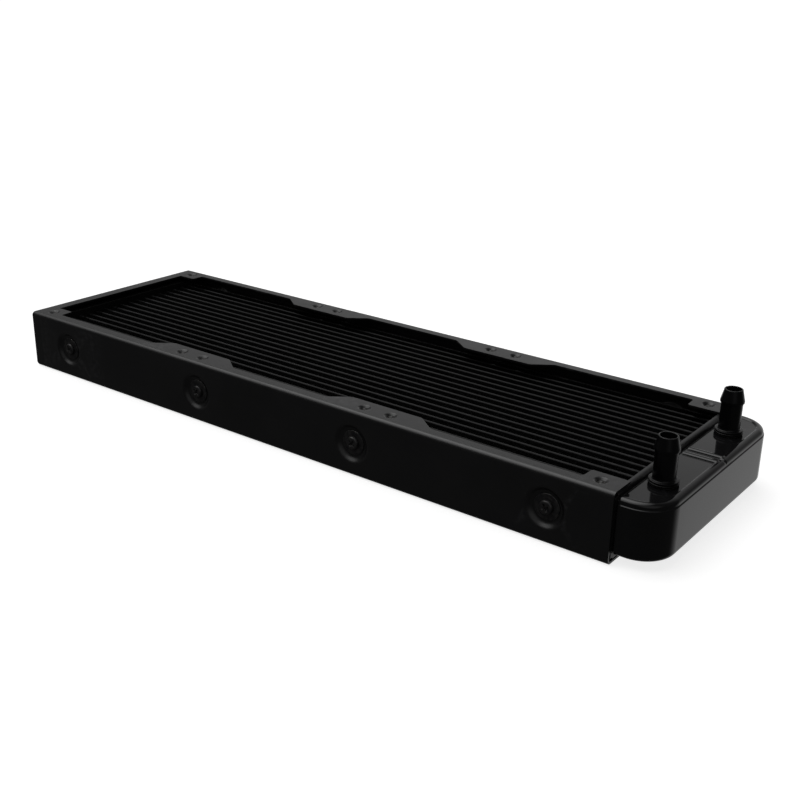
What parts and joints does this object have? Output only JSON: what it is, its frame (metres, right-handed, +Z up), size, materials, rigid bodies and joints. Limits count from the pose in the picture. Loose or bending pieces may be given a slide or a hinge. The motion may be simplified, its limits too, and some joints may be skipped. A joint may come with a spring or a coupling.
{
  "type": "liquid cooling radiator",
  "caption": "Long flat-tube liquid cooling radiator in a folded black frame with fan screw holes, corrugated fins, a rounded gloss end tank and two upright hose barbs.",
  "frame": {"origin": "on the plane of the underside, at the centre of the middle fan place's four holes", "axes": "+X along the length towards the hose barbs, +Y across the width, +Z up, the way the hose barbs point"},
  "size_m": [0.3863, 0.12, 0.0498],
  "materials": {
    "frame_paint": "satin black paint on folded steel sheet",
    "header_paint": "satin black paint",
    "tank_gloss": "gloss black",
    "divider_metal": "gloss black, hidden",
    "gasket_rubber": "matt black rubber",
    "core_plate_paint": "satin black paint",
    "barb_gloss": "gloss black",
    "seal_rubber": "matt black rubber",
    "screw_black": "black oxide",
    "washer_black": "black oxide",
    "tube_paint": "satin black paint on aluminium",
    "fin_paint": "matt black paint on aluminium"
  },
  "bodies": {
    "root": {"front_side_rail": "frame_paint", "rear_side_rail": "frame_paint", "return_end_cover": "frame_paint", "port_header": "header_paint", "return_header": "header_paint", "return_tank": "header_paint", "port_tank": "tank_gloss", "tank_divider": "divider_metal", "tank_gasket": "gasket_rubber", "front_core_plate": "core_plate_paint", "rear_core_plate": "core_plate_paint", "inlet_barb": "barb_gloss", "outlet_barb": "barb_gloss", "inlet_barb_seal": "seal_rubber", "outlet_barb_seal": "seal_rubber", "rail_screws": "screw_black", "rail_washers": "washer_black", "tube_01": "tube_paint", "tube_02": "tube_paint", "tube_03": "tube_paint", "tube_04": "tube_paint", "tube_05": "tube_paint", "tube_06": "tube_paint", "tube_07": "tube_paint", "tube_08": "tube_paint", "tube_09": "tube_paint", "tube_10": "tube_paint", "tube_11": "tube_paint", "tube_12": "tube_paint", "tube_13": "tube_paint", "tube_14": "tube_paint", "tube_15": "tube_paint", "tube_16": "tube_paint", "tube_17": "tube_paint", "tube_18": "tube_paint", "fin_01": "fin_paint", "fin_02": "fin_paint", "fin_03": "fin_paint", "fin_04": "fin_paint", "fin_05": "fin_paint", "fin_06": "fin_paint", "fin_07": "fin_paint", "fin_08": "fin_paint", "fin_09": "fin_paint", "fin_10": "fin_paint", "fin_11": "fin_paint", "fin_12": "fin_paint", "fin_13": "fin_paint", "fin_14": "fin_paint", "fin_15": "fin_paint", "fin_16": "fin_paint", "fin_17": "fin_paint", "fin_18": "fin_paint", "fin_19": "fin_paint"}
  },
  "joints": []
}
